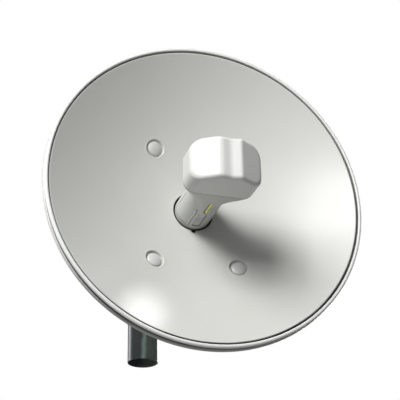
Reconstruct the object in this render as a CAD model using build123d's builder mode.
from build123d import *
import math
import os

# Small dish antenna with a plug-in feed, clamped to a mast through a tilting bracket.
# Millimetres. Origin at the centre of the mast's lower end, +Z up the mast.
# The dish looks along -Y, so front is -Y and rear is +Y.

# ---------------------------------------------------------------- shared sizes
# Dish
AXIS_X = 22.5                    # dish axis, sideways from the mast axis
AXIS_Z = 151.0                   # dish axis height
RIM_R = 200.0                    # reflecting aperture radius
DEPTH = 66.0                     # vertex to aperture plane
FOCAL = RIM_R ** 2 / (4 * DEPTH)
VERTEX_Y = -165.0                # reflecting vertex
SHEET = 1.8                      # reflector sheet, measured along the axis
SEAT_BACK = SHEET * 1.05         # rear of the sheet behind a bolt seat
KEY_Z, KEY_R = -27.0, 3.0        # key notch below the dish axis

# Dish bolts
DISH_PITCH = (110.0, 156.0)      # bolt pattern, X and Z
DISH_BOLTS = [(sx * DISH_PITCH[0] / 2, sz * DISH_PITCH[1] / 2) for sx in (-1, 1) for sz in (-1, 1)]
BOLT_CIRCLE_R2 = (DISH_PITCH[0] / 2) ** 2 + (DISH_PITCH[1] / 2) ** 2
SEAT_DROP = 2.7                  # seat below the paraboloid at the bolt circle
SEAT_Y = VERTEX_Y - BOLT_CIRCLE_R2 / (4 * FOCAL) + SEAT_DROP

# Fasteners
M6_R, M6_HOLE, M6_WASHER_T = 3.0, 3.3, 1.2
M8_R, M8_HOLE, M8_WASHER_T = 4.0, 4.3, 1.6
M8_SQUARE = 8.0                  # square neck under the bolt head
M8_SQUARE_HOLE = 8.3
M8_FLANGE_R, M8_FLANGE_T = 8.7, 1.8
M8_HEX_R = 6.5                   # nut, centre to flat
WASHER_FIT = 0.1                 # washer bore smaller than the bolt hole by this
THREAD_FIT = 0.05                # nut bore larger than the bolt by this
SCREW_Z = -76.0                  # earth screw below the dish axis

# Mast and clamp
MAST_R, MAST_WALL, MAST_TOP = 21.2, 2.6, 221.0
SPIGOT_R, SPIGOT_L = 20.4, 55.0  # narrower lower end of the mast
WEB_Y0, WEB_Y1 = -35.0, -32.0    # mast bracket web
WEB_H = 84.0
CLAMP_PITCH = (70.0, 40.0)       # clamp bolt pattern, X and Z
CLAMP_H = 68.0                   # height of saddle and jaw
V_HALF = 30.0                    # slope of the V faces, degrees
V_HALF_W = 25.0                  # half width of the V mouth
V_TIP = (MAST_R + 0.04) / math.cos(math.radians(V_HALF))
V_MOUTH = V_TIP - V_HALF_W * math.tan(math.radians(V_HALF))
JAW_Y = 31.0                     # rear face of the jaw
JAW_SEAT = 27.0                  # washer seat sunk in the jaw

# Elevation joint
EAR_IN, EAR_T = 37.0, 3.0        # mast bracket ear: inner face from the dish axis, thickness
EAR_GAP = 0.2
DISH_EAR_IN = EAR_IN + EAR_T + EAR_GAP
DISH_EAR_T = 3.0
OUT_FACE = DISH_EAR_IN + DISH_EAR_T
PIVOT_Y, PIVOT_Z = -96.0, 123.0
SLOT_R = 50.0                    # curved slot radius about the pivot
SLOT_HALF_W = 4.2
TILT = 20.0                      # elevation travel each way, degrees
SLOT_END = TILT + 2.0            # slot end, degrees from straight up
JOINT_SPOTS = ((PIVOT_Y, PIVOT_Z), (PIVOT_Y, PIVOT_Z + SLOT_R))
JOINT_FIT = 0.05                 # gap between dish bracket ear and washer

# Hub and its cap
HUB_Y0, HUB_Y1 = -158.0, -153.0  # hub plate
COLLAR_Y = -162.0                # front of the collar
BRACKET_Y1 = -150.0              # rear face of the dish bracket plate
TUBE_R, TUBE_Y = 27.0, -116.0    # hub socket outside, rear end
BORE_R = 22.08                   # hub socket bore
CAP_Y = TUBE_Y + 0.2             # front rim of the cap
HINGE_Y, HINGE_Z = -117.0, AXIS_Z + 31.0

# Feed
PLUG_R, PLUG_IN, PLUG_Y = 22.0, 18.5, -123.0   # plug outside, bore, rear end
SHOULDER_Y = -162.2
GROOVE_Y = -150.0                # middle of the seal groove
NECK_R, NECK_IN = 24.0, 20.5
FLARE_Y, HEAD_Y = -228.0, -269.0
SPLIT_Y = -271.0                 # joint between head housing and cover
SEAL_T = 0.2
FRONT_Y = -322.0
HEAD_W, HEAD_H, HEAD_C, HEAD_T = 90.0, 55.0, 16.0, 2.5   # width, height, corner, wall
PANEL_Y0, PANEL_Y1 = -171.0, -215.0
PANEL_A, PANEL_B = 22.0, 93.0    # panel ends, degrees from straight down towards -X
PANEL_R = 22.4                   # recess floor
LED_Y0, LED_Y1, LED_W = -213.0, -243.0, 4.6
BUTTON_Y0, BUTTON_Y1, BUTTON_W = -174.5, -209.0, 10.4
RESET_X = 13.4                   # reset hole, sideways from the dish axis
BOARD_Z = AXIS_Z + 1.0           # centre height of the circuit board
BOARD_HALF_T = 0.8
RADIATOR_Y, RADIATOR_T = -286.0, 1.2
POST_R = 2.4
SUB_Y = -296.3                   # rear face of the sub reflector

SECTION = Plane(origin=(AXIS_X, 0, AXIS_Z), x_dir=(1, 0, 0), z_dir=(0, 0, 1))
DISH_AXIS = Axis((AXIS_X, 0, AXIS_Z), (0, 1, 0))


# ---------------------------------------------------------------- planes and points
def facing(y):
    """Plane square to the dish axis at y: local x is +X, local y is +Z, normal to the front."""
    return Plane(origin=(AXIS_X, y, AXIS_Z), x_dir=(1, 0, 0), z_dir=(0, -1, 0))


def mast_facing(y):
    """The same plane centred on the mast axis."""
    return Plane(origin=(0, y, AXIS_Z), x_dir=(1, 0, 0), z_dir=(0, -1, 0))


def side(x):
    """Plane square to X: local x is +Y, local y is +Z, normal +X."""
    return Plane(origin=(x, 0, 0), x_dir=(0, 1, 0), z_dir=(1, 0, 0))


def level(z):
    """Horizontal plane at a height from the dish axis, in X and Y of the frame."""
    return Plane.XY.offset(AXIS_Z + z)


def seat_plane(x, z, back=0.0):
    """Plane parallel to the sheet at a dish bolt, this far behind the seat along the axis."""
    slope = 1 / (2 * FOCAL)
    return Plane(
        origin=(AXIS_X + x, SEAT_Y + back, AXIS_Z + z),
        x_dir=(1, -slope * x, 0),
        z_dir=(-slope * x, -1, -slope * z),
    )


def dish_y(r, shift=0.0):
    """Y of the paraboloid at radius r, shifted to the rear."""
    return VERTEX_Y - r * r / (4 * FOCAL) + shift


def dish_curve(r0, r1, shift=0.0):
    """Bezier control points that follow the paraboloid exactly from r0 to r1."""
    middle = ((r0 + r1) / 2, VERTEX_Y + shift - r0 * r1 / (4 * FOCAL))
    return (r0, dish_y(r0, shift)), middle, (r1, dish_y(r1, shift))


def about_pivot(r, degrees, along=0.0):
    """Ear point at radius r and angle from straight up, moved a distance along the arc."""
    a = math.radians(degrees)
    return (
        PIVOT_Y + r * math.sin(a) + along * math.cos(a),
        PIVOT_Z + r * math.cos(a) - along * math.sin(a),
    )


def around_neck(degrees, r):
    """Point at radius r, measured from straight down towards -X."""
    return (-r * math.sin(math.radians(degrees)), -r * math.cos(math.radians(degrees)))


def v_side(sign):
    """X, Y points of the V side of the saddle (-1) or the jaw (1), from +X to -X."""
    return [
        (45.0, sign * 16.0), (40.0, sign * V_MOUTH), (V_HALF_W, sign * V_MOUTH),
        (0.0, sign * V_TIP),
        (-V_HALF_W, sign * V_MOUTH), (-40.0, sign * V_MOUTH), (-45.0, sign * 16.0),
    ]


def panel_wedge(trim=0.0):
    """Wedge from the neck axis over the service panel, trimmed by an angle at each end."""
    return [
        (0, 0),
        around_neck(PANEL_A + trim, 34),
        around_neck((PANEL_A + PANEL_B) / 2, 44),
        around_neck(PANEL_B - trim, 34),
    ]


# ---------------------------------------------------------------- shapes drawn in a caller's sketch
def four_spots(pitch):
    return GridLocations(*pitch, 2, 2)


def hinge_circle(r):
    with Locations((HINGE_Y, HINGE_Z)):
        Circle(r)


def key_circle():
    with Locations((0, KEY_Z)):
        Circle(KEY_R)


def head_outline():
    RectangleRounded(HEAD_W, HEAD_H, HEAD_C)


def head_pocket():
    RectangleRounded(HEAD_W - 2 * HEAD_T, HEAD_H - 2 * HEAD_T, HEAD_C - HEAD_T)


def neck_opening(y0, y1, width, corner, fit=0.0):
    """Rounded rectangle under the neck, smaller than the opening by the fit."""
    with Locations((AXIS_X, (y0 + y1) / 2)):
        RectangleRounded(width - fit, y0 - y1 - fit, corner)


# ---------------------------------------------------------------- washers and flanged nuts
def washers(seat, pitch, outer_r, hole_r, thickness):
    """Four washers on the rear of a seat plane."""
    with BuildPart() as piece:
        with BuildSketch(seat):
            with four_spots(pitch):
                Circle(outer_r)
                Circle(hole_r - WASHER_FIT, mode=Mode.SUBTRACT)
        extrude(amount=-thickness)
    return piece.part


def nuts(plane_at, y, pitch, flange_r, flange_t, hex_r, hex_t, bolt_r, bore_depth):
    """Four flanged nuts to the rear of y; plane_at gives the sketch plane at a y."""
    with BuildPart() as piece:
        with BuildSketch(plane_at(y)):
            with four_spots(pitch):
                Circle(flange_r)
        extrude(amount=-flange_t)
        with BuildSketch(plane_at(y + flange_t)):
            with four_spots(pitch):
                RegularPolygon(hex_r, 6, major_radius=False)
        extrude(amount=-hex_t)
        with BuildSketch(plane_at(y)):
            with four_spots(pitch):
                Circle(bolt_r + THREAD_FIT)
        extrude(amount=-bore_depth, mode=Mode.SUBTRACT)
    return piece.part


# ================================================================ mast and clamp
def mast_tube():
    with BuildPart() as piece:
        with BuildSketch(Plane.XY):
            Circle(SPIGOT_R)
        extrude(amount=SPIGOT_L)
        with BuildSketch(Plane.XY.offset(SPIGOT_L)):
            Circle(MAST_R)
        extrude(amount=MAST_TOP - SPIGOT_L)
        with BuildSketch(Plane.XY):
            Circle(MAST_R - MAST_WALL)
        extrude(amount=MAST_TOP, mode=Mode.SUBTRACT)
    return piece.part


def mast_bracket():
    """Bent channel: wide web against the saddle, two ears forward to the elevation joint."""
    web_x0, web_x1 = -46.0, AXIS_X + EAR_IN + EAR_T
    root_y = WEB_Y1 - 0.5
    ear_outline = [   # Y, Z
        (root_y, 112.0), (PIVOT_Y - 2, 106.0), (PIVOT_Y - 16, 114.0),
        (PIVOT_Y - 16, 182.0), (PIVOT_Y - 2, 190.0), (root_y, 190.0),
    ]
    window_spot = ((PIVOT_Y + WEB_Y0) / 2 + 6, 148.0)
    window_l, window_w = 34.0, 18.0
    with BuildPart() as piece:
        with BuildSketch(mast_facing(WEB_Y1)):
            with Locations(((web_x0 + web_x1) / 2, 0)):
                RectangleRounded(web_x1 - web_x0, WEB_H, 6.0)
        extrude(amount=WEB_Y1 - WEB_Y0)
        for ear_x in (AXIS_X - EAR_IN - EAR_T, AXIS_X + EAR_IN):
            with BuildSketch(side(ear_x)):
                with BuildLine():
                    Polyline(*ear_outline, close=True)
                make_face()
                with Locations(window_spot):
                    SlotOverall(window_l, window_w, rotation=90, mode=Mode.SUBTRACT)
                with Locations(*JOINT_SPOTS):
                    Rectangle(M8_SQUARE_HOLE, M8_SQUARE_HOLE, mode=Mode.SUBTRACT)
            extrude(amount=EAR_T)
        with BuildSketch(mast_facing(WEB_Y1)):
            with four_spots(CLAMP_PITCH):
                Rectangle(M8_SQUARE_HOLE, M8_SQUARE_HOLE)
        extrude(amount=WEB_Y1 - WEB_Y0, mode=Mode.SUBTRACT)
    return piece.part


def mast_saddle():
    """Cast saddle with a V that bears on the front of the mast."""
    pocket_w, pocket_h, pocket_pitch = 30.0, 7.0, 16.0
    pocket_y0, pocket_y1 = -27.0, -14.0
    with BuildPart() as piece:
        with BuildSketch(level(-CLAMP_H / 2)):
            with BuildLine():
                Polyline((-45.0, WEB_Y1), (45.0, WEB_Y1), *v_side(-1), close=True)
            make_face()
        extrude(amount=CLAMP_H)
        with BuildSketch(mast_facing(WEB_Y1)):
            with four_spots(CLAMP_PITCH):
                Circle(M8_HOLE)
        extrude(amount=-30.0, mode=Mode.SUBTRACT)
        # pockets across the V leave bars against the mast
        with BuildSketch(mast_facing(pocket_y1)):
            with GridLocations(0, pocket_pitch, 1, 3):
                Rectangle(pocket_w, pocket_h)
        extrude(amount=pocket_y1 - pocket_y0, mode=Mode.SUBTRACT)
    return piece.part


def clamp_jaw():
    """Loose jaw with a matching V, behind the mast."""
    rear_side = [(-45.0, 25.0), (-38.0, JAW_Y), (38.0, JAW_Y), (45.0, 25.0)]
    cut_y = JAW_Y + 0.5
    counterbore_r = 9.6
    pocket_w, pocket_h, pocket_pitch, pocket_depth = 20.0, 52.0, 26.0, 3.0
    with BuildPart() as piece:
        with BuildSketch(level(-CLAMP_H / 2)):
            with BuildLine():
                Polyline(*rear_side, *v_side(1), close=True)
            make_face()
        extrude(amount=CLAMP_H)
        with BuildSketch(mast_facing(0.0)):
            with four_spots(CLAMP_PITCH):
                Circle(M8_HOLE)
        extrude(amount=-40.0, mode=Mode.SUBTRACT)
        with BuildSketch(mast_facing(cut_y)):
            with four_spots(CLAMP_PITCH):
                Circle(counterbore_r)
        extrude(amount=cut_y - JAW_SEAT, mode=Mode.SUBTRACT)
        with BuildSketch(mast_facing(cut_y)):
            with GridLocations(pocket_pitch, 0, 2, 1):
                RectangleRounded(pocket_w, pocket_h, 3.0)
        extrude(amount=pocket_depth, mode=Mode.SUBTRACT)
    return piece.part


def clamp_bolts():
    """Carriage bolts, heads against the front of the web."""
    head_r, head_h, length = 9.0, 4.6, 88.0
    with BuildPart() as piece:
        with BuildSketch(mast_facing(WEB_Y0)):
            with four_spots(CLAMP_PITCH):
                Circle(head_r)
        extrude(amount=head_h)
        fillet(piece.edges().filter_by(GeomType.CIRCLE).group_by(Axis.Y)[0], radius=4.0)
        with BuildSketch(mast_facing(WEB_Y0)):
            with four_spots(CLAMP_PITCH):
                Rectangle(M8_SQUARE, M8_SQUARE)
        extrude(amount=-(WEB_Y1 - WEB_Y0))
        with BuildSketch(mast_facing(WEB_Y0)):
            with four_spots(CLAMP_PITCH):
                Circle(M8_R)
        extrude(amount=-length)
        chamfer(piece.edges().filter_by(GeomType.CIRCLE).group_by(Axis.Y)[-1], length=0.8)
    return piece.part


def clamp_washers():
    return washers(mast_facing(JAW_SEAT), CLAMP_PITCH, 8.5, M8_HOLE, M8_WASHER_T)


def clamp_nuts():
    return nuts(
        mast_facing, JAW_SEAT + M8_WASHER_T, CLAMP_PITCH,
        flange_r=M8_FLANGE_R, flange_t=M8_FLANGE_T, hex_r=M8_HEX_R, hex_t=6.4,
        bolt_r=M8_R, bore_depth=9.0,
    )


# ================================================================ elevation joint
# The same hardware sits at pivot and slot on both sides.
def elevation_bolts():
    head_r, head_h, head_taper, length = 8.4, 4.2, 28, 20.0
    with BuildPart() as piece:
        for sign in (-1, 1):
            ear_face = AXIS_X + sign * EAR_IN
            with BuildSketch(side(ear_face)):
                with Locations(*JOINT_SPOTS):
                    Circle(head_r)
            extrude(amount=-sign * head_h, taper=head_taper)
            with BuildSketch(side(ear_face)):
                with Locations(*JOINT_SPOTS):
                    Rectangle(M8_SQUARE, M8_SQUARE)
            extrude(amount=sign * EAR_T)
            with BuildSketch(side(ear_face)):
                with Locations(*JOINT_SPOTS):
                    Circle(M8_R)
            extrude(amount=sign * length)
    return piece.part


def elevation_washers():
    outer_r = 9.5
    with BuildPart() as piece:
        for sign in (-1, 1):
            with BuildSketch(side(AXIS_X + sign * (OUT_FACE + JOINT_FIT))):
                with Locations(*JOINT_SPOTS):
                    Circle(outer_r)
                    Circle(M8_HOLE - WASHER_FIT, mode=Mode.SUBTRACT)
            extrude(amount=sign * M8_WASHER_T)
    return piece.part


def elevation_nuts():
    hex_t, bore_depth = 6.2, 9.0
    seat = OUT_FACE + JOINT_FIT + M8_WASHER_T
    with BuildPart() as piece:
        for sign in (-1, 1):
            with BuildSketch(side(AXIS_X + sign * seat)):
                with Locations(*JOINT_SPOTS):
                    Circle(M8_FLANGE_R)
            extrude(amount=sign * M8_FLANGE_T)
            with BuildSketch(side(AXIS_X + sign * (seat + M8_FLANGE_T))):
                with Locations(*JOINT_SPOTS):
                    RegularPolygon(M8_HEX_R, 6, major_radius=False)
            extrude(amount=sign * hex_t)
            with BuildSketch(side(AXIS_X + sign * (OUT_FACE + M8_WASHER_T))):
                with Locations(*JOINT_SPOTS):
                    Circle(M8_R + THREAD_FIT)
            extrude(amount=sign * bore_depth, mode=Mode.SUBTRACT)
    return piece.part


def dish_bracket():
    """Plate behind the hub with two ears to the rear, outside the mast bracket's ears."""
    plate_w, plate_h = 134.0, 180.0
    root_y = BRACKET_Y1 - 1.0
    ear_outline = [   # Y, Z
        (root_y, 100.0), (PIVOT_Y - 6, 106.0), (PIVOT_Y + 10, 109.0), (PIVOT_Y + 17, 121.0),
        (PIVOT_Y + 30, 160.0), (PIVOT_Y + 30, 178.0), (PIVOT_Y + 16, 188.0), (root_y, 196.0),
    ]
    slot_out, slot_in = SLOT_R + SLOT_HALF_W, SLOT_R - SLOT_HALF_W
    # start, middle and end of each arc round the curved slot
    slot_arcs = [
        ((slot_out, -SLOT_END), (slot_out, 0), (slot_out, SLOT_END)),
        ((slot_out, SLOT_END), (SLOT_R, SLOT_END, SLOT_HALF_W), (slot_in, SLOT_END)),
        ((slot_in, SLOT_END), (slot_in, 0), (slot_in, -SLOT_END)),
        ((slot_in, -SLOT_END), (SLOT_R, -SLOT_END, -SLOT_HALF_W), (slot_out, -SLOT_END)),
    ]
    with BuildPart() as piece:
        with BuildSketch(facing(BRACKET_Y1)):
            RectangleRounded(plate_w, plate_h, 16.0)
            Circle(34.0, mode=Mode.SUBTRACT)
            with Locations((0, 62), (0, -58)):
                SlotOverall(44.0, 16.0, mode=Mode.SUBTRACT)
            with Locations((-plate_w / 2, 0), (plate_w / 2, 0)):
                SlotOverall(96.0, 26.0, rotation=90, mode=Mode.SUBTRACT)
        extrude(amount=BRACKET_Y1 - HUB_Y1)
        for sign in (-1, 1):
            with BuildSketch(side(AXIS_X + sign * DISH_EAR_IN)):
                with BuildLine():
                    Polyline(*ear_outline, close=True)
                make_face()
                with Locations((PIVOT_Y, PIVOT_Z)):
                    Circle(M8_R + 0.06, mode=Mode.SUBTRACT)
                with BuildLine():
                    for arc in slot_arcs:
                        ThreePointArc(*[about_pivot(*point) for point in arc])
                make_face(mode=Mode.SUBTRACT)
            extrude(amount=sign * DISH_EAR_T)
        with BuildSketch(facing(BRACKET_Y1)):
            with four_spots(DISH_PITCH):
                Circle(M6_HOLE)
            with Locations((0, SCREW_Z)):
                Circle(2.2)
        extrude(amount=4.0, mode=Mode.SUBTRACT)
    return piece.part


# ================================================================ hub that carries the feed
def hub_housing():
    plate_w, plate_h = 136.0, 182.0
    standoff_r, collar_r = 9.5, 34.0
    lug_x, lug_t = 8.0, 4.0
    with BuildPart() as piece:
        with BuildSketch(facing(HUB_Y1)):
            RectangleRounded(plate_w, plate_h, 17.0)
            with Locations((-plate_w / 2, 0), (plate_w / 2, 0)):
                SlotOverall(92.0, 24.0, rotation=90, mode=Mode.SUBTRACT)
        extrude(amount=HUB_Y1 - HUB_Y0)
        # standoffs to the bolt seats, ended parallel to the sheet
        with BuildSketch(facing(HUB_Y0)):
            with four_spots(DISH_PITCH):
                Circle(standoff_r)
        extrude(amount=HUB_Y0 - SEAT_Y + 4.0)
        for x, z in DISH_BOLTS:
            with BuildSketch(seat_plane(x, z, SEAT_BACK)):
                Circle(22.0)
            extrude(amount=14.0, mode=Mode.SUBTRACT)
        # collar to the front, socket tube to the rear
        with BuildSketch(facing(HUB_Y0)):
            Circle(collar_r)
        extrude(amount=HUB_Y0 - COLLAR_Y)
        with BuildSketch(facing(HUB_Y1)):
            Circle(TUBE_R)
        extrude(amount=HUB_Y1 - TUBE_Y)
        # hinge lugs over the socket's rear end
        for sign in (-1, 1):
            with BuildSketch(side(AXIS_X + sign * lug_x)):
                hinge_circle(3.4)
                with Locations((-119.4, AXIS_Z + 27.6)):
                    Rectangle(6.0, 7.2)
            extrude(amount=sign * lug_t)
        with BuildSketch(facing(TUBE_Y + 5)):
            Circle(BORE_R)
        extrude(amount=60.0, mode=Mode.SUBTRACT)
        with BuildSketch(side(AXIS_X - 14.0)):
            hinge_circle(1.55)
        extrude(amount=28.0, mode=Mode.SUBTRACT)
        # cable notch in the lower lip of the socket
        with BuildSketch(facing(TUBE_Y + 1)):
            with Locations((0, -25.0)):
                Rectangle(12.0, 8.0)
        extrude(amount=10.5, mode=Mode.SUBTRACT)
        # bolt holes and earth screw hole
        with BuildSketch(facing(HUB_Y1 + 1)):
            with four_spots(DISH_PITCH):
                Circle(M6_HOLE)
        extrude(amount=40.0, mode=Mode.SUBTRACT)
        with BuildSketch(facing(HUB_Y1)):
            with Locations((0, SCREW_Z)):
                Circle(2.15)
        extrude(amount=4.0, mode=Mode.SUBTRACT)
    return piece.part


def hub_gasket():
    """Ring between collar and sheet, its front following the paraboloid."""
    inner_r, outer_r = 27.6, 33.0
    shift = SHEET + 0.15
    with BuildPart() as piece:
        with BuildSketch(SECTION):
            with BuildLine():
                Polyline(
                    (inner_r, COLLAR_Y), (inner_r, dish_y(inner_r, shift)),
                    (outer_r, dish_y(outer_r, shift)), (outer_r, COLLAR_Y),
                    close=True,
                )
            make_face()
        revolve(axis=DISH_AXIS)
        with BuildSketch(facing(COLLAR_Y + 1)):
            key_circle()
        extrude(amount=6.0, mode=Mode.SUBTRACT)
    return piece.part


def earth_screw():
    """Cross-head screw through the dish bracket, head to the rear."""
    head_r, head_h, shank_r, shank_l = 4.2, 2.8, 2.1, 6.5
    cross_l, cross_w, cross_depth = 6.4, 1.1, 1.2
    with BuildPart() as piece:
        with BuildSketch(facing(BRACKET_Y1)):
            with Locations((0, SCREW_Z)):
                Circle(head_r)
        extrude(amount=-head_h)
        with BuildSketch(facing(BRACKET_Y1 + head_h)):
            with Locations((0, SCREW_Z)):
                Rectangle(cross_l, cross_w)
                Rectangle(cross_w, cross_l)
        extrude(amount=cross_depth, mode=Mode.SUBTRACT)
        with BuildSketch(facing(BRACKET_Y1)):
            with Locations((0, SCREW_Z)):
                Circle(shank_r)
        extrude(amount=shank_l)
    return piece.part


# ================================================================ reflector
def reflector():
    seat_r, seat_wall = 11.2, 1.6
    square_hole = 6.4
    # trim that ends the seats inside the sheet
    trim_r0, trim_r1, trim_shift, trim_y = 30.0, 190.0, 0.7, -260.0
    hole_r = 26.5                   # central opening
    face_r, back_r = 198.6, 198.0   # outer ends of the front and rear curves
    # rim section, radius and distance to the rear of the vertex (negative is front)
    crease = (199.4, VERTEX_Y - 64.6)
    bead = [(202.2, VERTEX_Y - 67.6), (204.9, VERTEX_Y - 64.2)]
    skirt = [(204.9, VERTEX_Y - 58.6), (203.9, VERTEX_Y - 57.6), (203.9, VERTEX_Y - 56.4)]
    hem = [(205.3, VERTEX_Y - 54.0), (203.9, VERTEX_Y - 51.6)]
    inside = [(202.3, VERTEX_Y - 51.6), (202.3, VERTEX_Y - 61.8)]
    with BuildPart() as piece:
        # round seats for the four bolts, parallel to the sheet around them
        for x, z in DISH_BOLTS:
            with BuildSketch(seat_plane(x, z, SEAT_BACK)):
                Circle(seat_r + seat_wall)
            extrude(amount=24.0)
        with BuildSketch(SECTION):
            with BuildLine():
                Bezier(*dish_curve(trim_r0, trim_r1, trim_shift))
                Polyline(
                    (trim_r1, dish_y(trim_r1, trim_shift)), (trim_r1, trim_y),
                    (trim_r0, trim_y), (trim_r0, dish_y(trim_r0, trim_shift)),
                )
            make_face()
        revolve(axis=DISH_AXIS, mode=Mode.SUBTRACT)
        # paraboloid sheet, crease, rolled bead, skirt, groove and hem in one section
        with BuildSketch(SECTION):
            with BuildLine():
                Bezier(*dish_curve(hole_r, face_r))
                Line((face_r, dish_y(face_r)), crease)
                ThreePointArc(crease, *bead)
                Polyline(bead[-1], *skirt)
                ThreePointArc(skirt[-1], *hem)
                Polyline(hem[-1], *inside, (back_r, dish_y(back_r, SHEET)))
                Bezier(*dish_curve(back_r, hole_r, SHEET))
                Line((hole_r, dish_y(hole_r, SHEET)), (hole_r, dish_y(hole_r)))
            make_face()
        revolve(axis=DISH_AXIS)
        for x, z in DISH_BOLTS:
            with BuildSketch(seat_plane(x, z)):
                Circle(seat_r)
            extrude(amount=30.0, mode=Mode.SUBTRACT)
        with BuildSketch(facing(SEAT_Y + SHEET + 3)):
            with four_spots(DISH_PITCH):
                Rectangle(square_hole, square_hole)
        extrude(amount=8.0, mode=Mode.SUBTRACT)
        # key notch in the lower edge of the opening
        with BuildSketch(facing(-155.0)):
            key_circle()
        extrude(amount=20.0, mode=Mode.SUBTRACT)
    return piece.part


def dish_bolts():
    """Domed heads tilted with the seats, square necks and shanks along the dish axis."""
    dome_r, dome_h = 9.6, 3.3
    square = 6.0
    start = 1.2                     # neck and shank start this far inside the dome
    with BuildPart() as piece:
        for x, z in DISH_BOLTS:
            with BuildSketch(seat_plane(x, z)):
                Circle(dome_r)
            extrude(amount=dome_h)
        fillet(piece.edges().filter_by(GeomType.CIRCLE).group_by(Axis.Y)[0], radius=3.0)
        with BuildSketch(facing(SEAT_Y - start)):
            with four_spots(DISH_PITCH):
                Rectangle(square, square)
        extrude(amount=-(start + 0.5))
        with BuildSketch(facing(SEAT_Y - start)):
            with four_spots(DISH_PITCH):
                Circle(M6_R)
        extrude(amount=-(36.0 + start))
    return piece.part


def dish_washers():
    return washers(facing(BRACKET_Y1), DISH_PITCH, 6.5, M6_HOLE, M6_WASHER_T)


def dish_nuts():
    return nuts(
        facing, BRACKET_Y1 + M6_WASHER_T, DISH_PITCH,
        flange_r=6.9, flange_t=1.4, hex_r=5.0, hex_t=4.6,
        bolt_r=M6_R, bore_depth=8.0,
    )


# ================================================================ rear cap of the hub socket
def rear_cap():
    length, wall = 10.0, 2.2
    knuckle_l = 15.6
    with BuildPart() as piece:
        with BuildSketch(facing(CAP_Y)):
            Circle(TUBE_R)
        extrude(amount=-length)
        fillet(piece.edges().filter_by(GeomType.CIRCLE).group_by(Axis.Y)[-1], radius=3.0)
        with BuildSketch(facing(CAP_Y)):
            Circle(TUBE_R - wall)
        extrude(amount=-(length - wall), mode=Mode.SUBTRACT)
        # hinge knuckle between the lugs
        with BuildSketch(side(AXIS_X - knuckle_l / 2)):
            hinge_circle(3.2)
            with Locations((-114.1, AXIS_Z + 28.0)):
                Rectangle(3.0, 6.0)
        extrude(amount=knuckle_l)
        # thumb tab opposite the hinge
        with BuildSketch(facing(-112.0)):
            with Locations((0, -28.0)):
                RectangleRounded(16.0, 7.0, 2.0)
        extrude(amount=-3.0)
        with BuildSketch(side(AXIS_X - 14.0)):
            hinge_circle(1.56)
        extrude(amount=28.0, mode=Mode.SUBTRACT)
    return piece.part


def cap_hinge_pin():
    length = 25.0
    with BuildPart() as piece:
        with BuildSketch(side(AXIS_X - length / 2)):
            hinge_circle(1.5)
        extrude(amount=length)
    return piece.part


def cable_grommet():
    """Block in the socket's cable notch, with a vertical cable hole."""
    width, height, length, cable_r = 11.8, 4.6, 9.2, 2.6
    with BuildPart() as piece:
        with BuildSketch(facing(TUBE_Y - 0.1)):
            with Locations((0, -24.6)):
                Rectangle(width, height)
        extrude(amount=length)
        with BuildSketch(level(-30.0)):
            with Locations((AXIS_X, TUBE_Y - 3.7)):
                Circle(cable_r)
        extrude(amount=12.0, mode=Mode.SUBTRACT)
    return piece.part


# ================================================================ plug-in feed
# Sections of the flare from neck to head: y, width, height, corner radius
FLARE_OUTSIDE = [(-249.0, 64.4, 51.0, 21.0), (-261.0, 82.6, 53.8, 18.5)]
FLARE_INSIDE = [(-250.0, 58.4, 45.6, 18.5), (-262.0, 76.4, 48.4, 15.8)]


def feed_housing():
    groove_w, groove_floor_r = 2.4, 20.2
    with BuildPart() as piece:
        with BuildSketch(facing(PLUG_Y)):
            Circle(PLUG_R)
        extrude(amount=PLUG_Y - SHOULDER_Y)
        with BuildSketch(facing(SHOULDER_Y)):
            Circle(NECK_R)
        extrude(amount=SHOULDER_Y - FLARE_Y)
        with BuildSketch(facing(FLARE_Y)):
            Circle(NECK_R)
        for y, width, height, corner in FLARE_OUTSIDE:
            with BuildSketch(facing(y)):
                RectangleRounded(width, height, corner)
        with BuildSketch(facing(HEAD_Y)):
            head_outline()
        loft()
        with BuildSketch(facing(HEAD_Y)):
            head_outline()
        extrude(amount=HEAD_Y - SPLIT_Y)
        # inside: plug bore, neck bore, flare and head pocket
        with BuildSketch(facing(PLUG_Y - 2.5)):
            Circle(PLUG_IN)
        extrude(amount=45.0, mode=Mode.SUBTRACT)
        with BuildSketch(facing(-166.0)):
            Circle(NECK_IN)
        extrude(amount=64.0, mode=Mode.SUBTRACT)
        with BuildSketch(facing(FLARE_Y - 1.0)):
            Circle(NECK_IN)
        for y, width, height, corner in FLARE_INSIDE:
            with BuildSketch(facing(y)):
                RectangleRounded(width, height, corner)
        with BuildSketch(facing(HEAD_Y - 0.5)):
            head_pocket()
        loft(mode=Mode.SUBTRACT)
        with BuildSketch(facing(HEAD_Y - 0.4)):
            head_pocket()
        extrude(amount=20.0, mode=Mode.SUBTRACT)
        # network socket window and reset hole in the plug's end wall
        with BuildSketch(facing(PLUG_Y + 1)):
            Rectangle(15.8, 13.4)
            with Locations((RESET_X, 0)):
                Circle(1.6)
        extrude(amount=6.0, mode=Mode.SUBTRACT)
        # seal groove
        with BuildSketch(facing(GROOVE_Y + groove_w / 2)):
            Circle(PLUG_R + 1)
            Circle(groove_floor_r, mode=Mode.SUBTRACT)
        extrude(amount=groove_w, mode=Mode.SUBTRACT)
        # recess for the service panel
        with BuildSketch(facing(PANEL_Y0)):
            with BuildLine():
                Polyline(*panel_wedge(), close=True)
            make_face()
            Circle(PANEL_R, mode=Mode.SUBTRACT)
        extrude(amount=PANEL_Y0 - PANEL_Y1, mode=Mode.SUBTRACT)
        # light window and button openings in the underside of the neck
        with BuildSketch(level(-30.0)):
            neck_opening(LED_Y0, LED_Y1, LED_W, 2.0)
            neck_opening(BUTTON_Y0, BUTTON_Y1, BUTTON_W, 2.5)
        extrude(amount=14.0, mode=Mode.SUBTRACT)
    return piece.part


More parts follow.
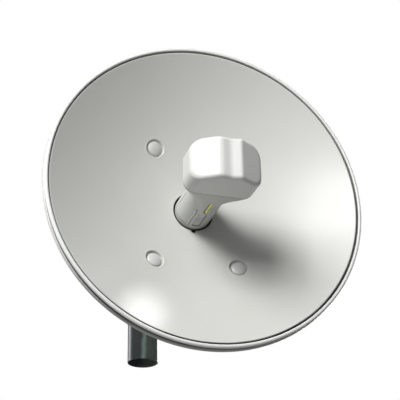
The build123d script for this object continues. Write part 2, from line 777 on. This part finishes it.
def head_cover():
    facet_drop, ridge_x, valley = 20.0, 13.0, 4.0
    cut_x = 60.0                    # half width of the facet cut, beyond the head
    facet_y = FRONT_Y + facet_drop * (cut_x - ridge_x) / (HEAD_W / 2 - ridge_x)
    with BuildPart() as piece:
        with BuildSketch(facing(SPLIT_Y - SEAL_T)):
            head_outline()
        extrude(amount=SPLIT_Y - SEAL_T - FRONT_Y)
        # two facets falling back to the sides and a shallow central valley
        with BuildSketch(Plane(origin=(AXIS_X, 0, AXIS_Z - 40.0), x_dir=(1, 0, 0), z_dir=(0, 0, 1))):
            with BuildLine():
                Polyline(
                    (-cut_x, facet_y), (-ridge_x, FRONT_Y), (0.0, FRONT_Y + valley),
                    (ridge_x, FRONT_Y), (cut_x, facet_y),
                    (cut_x, FRONT_Y - 20.0), (-cut_x, FRONT_Y - 20.0),
                    close=True,
                )
            make_face()
        extrude(amount=80.0, mode=Mode.SUBTRACT)
        # pocket, deeper in the middle
        with BuildSketch(facing(SPLIT_Y)):
            head_pocket()
        extrude(amount=27.5, mode=Mode.SUBTRACT)
        with BuildSketch(facing(SPLIT_Y)):
            RectangleRounded(42.0, HEAD_H - 2 * HEAD_T, 6.0)
        extrude(amount=42.0, mode=Mode.SUBTRACT)
    return piece.part


def head_seal():
    outer = -0.5                    # offset from the head outline
    inner = -HEAD_T + 0.3
    with BuildPart() as piece:
        with BuildSketch(facing(SPLIT_Y)):
            RectangleRounded(HEAD_W + 2 * outer, HEAD_H + 2 * outer, HEAD_C + outer)
            RectangleRounded(
                HEAD_W + 2 * inner, HEAD_H + 2 * inner, HEAD_C + inner, mode=Mode.SUBTRACT
            )
        extrude(amount=SEAL_T)
    return piece.part


def neck_panel():
    """Service panel, flush with the neck."""
    end_gap = 0.15
    with BuildPart() as piece:
        with BuildSketch(facing(PANEL_Y0 - end_gap)):
            with BuildLine():
                Polyline(*panel_wedge(trim=0.4), close=True)
            make_face()
            Circle(PANEL_R + 0.05, mode=Mode.SUBTRACT)
            Circle(NECK_R, mode=Mode.INTERSECT)
        extrude(amount=PANEL_Y0 - PANEL_Y1 - 2 * end_gap)
    return piece.part


def led_window():
    with BuildPart() as piece:
        with BuildSketch(level(-26.0)):
            neck_opening(LED_Y0, LED_Y1, LED_W, 1.95, fit=0.1)
        extrude(amount=7.5)
        with BuildSketch(facing(-200.0)):
            Circle(NECK_R - 0.25)
        extrude(amount=60.0, mode=Mode.INTERSECT)
    return piece.part


def release_button():
    """Button in the underside of the neck, with a wider flange inside."""
    with BuildPart() as piece:
        with BuildSketch(level(-26.0)):
            neck_opening(BUTTON_Y0, BUTTON_Y1, BUTTON_W, 2.4, fit=0.16)
        extrude(amount=7.0)
        with BuildSketch(facing(-165.0)):
            Circle(NECK_R - 0.6)
        extrude(amount=60.0, mode=Mode.INTERSECT)
        with BuildSketch(level(-19.4)):
            with Locations((AXIS_X, (BUTTON_Y0 + BUTTON_Y1) / 2)):
                RectangleRounded(12.0, 37.0, 2.0)
        extrude(amount=1.2)
    return piece.part


def feed_board():
    y0, y1, height = -147.4, -284.0, 31.0
    with BuildPart() as piece:
        with BuildSketch(side(AXIS_X - BOARD_HALF_T)):
            with Locations(((y0 + y1) / 2, BOARD_Z)):
                Rectangle(y0 - y1, height)
        extrude(amount=2 * BOARD_HALF_T)
    return piece.part


def board_shield():
    """Open box on the +X face of the board."""
    spot = (-259.0, BOARD_Z)
    length, height, depth, wall = 38.0, 26.0, 4.0, 0.4
    with BuildPart() as piece:
        with BuildSketch(side(AXIS_X + BOARD_HALF_T)):
            with Locations(spot):
                Rectangle(length, height)
        extrude(amount=depth)
        with BuildSketch(side(AXIS_X + BOARD_HALF_T)):
            with Locations(spot):
                Rectangle(length - 2 * wall, height - 2 * wall)
        extrude(amount=depth - wall, mode=Mode.SUBTRACT)
    return piece.part


def status_leds():
    """Four lights on the -X face of the board, over the light window."""
    first_y, pitch = -217.5, 7.0
    spots = [(first_y - i * pitch, AXIS_Z - 13.0) for i in range(4)]
    with BuildPart() as piece:
        with BuildSketch(side(AXIS_X - BOARD_HALF_T)):
            with Locations(*spots):
                Rectangle(1.6, 2.4)
        extrude(amount=-1.1)
    return piece.part


def ethernet_jack():
    rear_y = PLUG_Y - 2.7
    with BuildPart() as piece:
        with BuildSketch(facing(rear_y)):
            Rectangle(16.6, 14.2)
        extrude(amount=21.4)
        with BuildSketch(facing(rear_y)):
            Rectangle(12.0, 7.2)
            with Locations((0, -4.6)):
                Rectangle(6.4, 3.0)
        extrude(amount=15.0, mode=Mode.SUBTRACT)
    return piece.part


def reset_button():
    # distance in front of the plug's rear end, radius, length
    steps = [(0.4, 1.5, 5.0), (2.8, 2.3, 1.0)]
    with BuildPart() as piece:
        for inset, radius, length in steps:
            with BuildSketch(facing(PLUG_Y - inset)):
                with Locations((RESET_X, 0)):
                    Circle(radius)
            extrude(amount=length)
    return piece.part


def feed_radiator():
    """Slotted disc with a post forward to the sub reflector."""
    with BuildPart() as piece:
        with BuildSketch(facing(RADIATOR_Y)):
            Circle(15.0)
            with Locations((0, 9.0), (0, -9.0)):
                SlotOverall(12.0, 2.0, mode=Mode.SUBTRACT)
        extrude(amount=RADIATOR_T)
        with BuildSketch(facing(RADIATOR_Y - RADIATOR_T)):
            Circle(POST_R)
        extrude(amount=RADIATOR_Y - RADIATOR_T - SUB_Y)
    return piece.part


def sub_reflector():
    with BuildPart() as piece:
        with BuildSketch(facing(SUB_Y)):
            RectangleRounded(82.0, 47.0, 12.5)
        extrude(amount=1.2)
        with BuildSketch(facing(SUB_Y + 0.8)):
            Circle(POST_R + 0.06)
        extrude(amount=3.0, mode=Mode.SUBTRACT)
    return piece.part


def plug_oring():
    ring_r, cord_r = 21.1, 0.88
    with BuildPart() as piece:
        with BuildSketch(SECTION):
            with Locations((ring_r, GROOVE_Y)):
                Circle(cord_r)
        revolve(axis=DISH_AXIS)
    return piece.part


# ---------------------------------------------------------------- build and write every piece
PIECES = (
    mast_tube, mast_bracket, mast_saddle, clamp_jaw, clamp_bolts, clamp_washers, clamp_nuts,
    elevation_bolts, elevation_washers, elevation_nuts, dish_bracket,
    hub_housing, hub_gasket, earth_screw,
    reflector, dish_bolts, dish_washers, dish_nuts,
    rear_cap, cap_hinge_pin, cable_grommet,
    feed_housing, head_cover, head_seal, neck_panel, led_window, release_button,
    feed_board, board_shield, status_leds, ethernet_jack, reset_button,
    feed_radiator, sub_reflector, plug_oring,
)

os.makedirs("parts", exist_ok=True)
for build in PIECES:
    part = build()
    part.label = build.__name__
    export_step(part, f"parts/{build.__name__}.step")
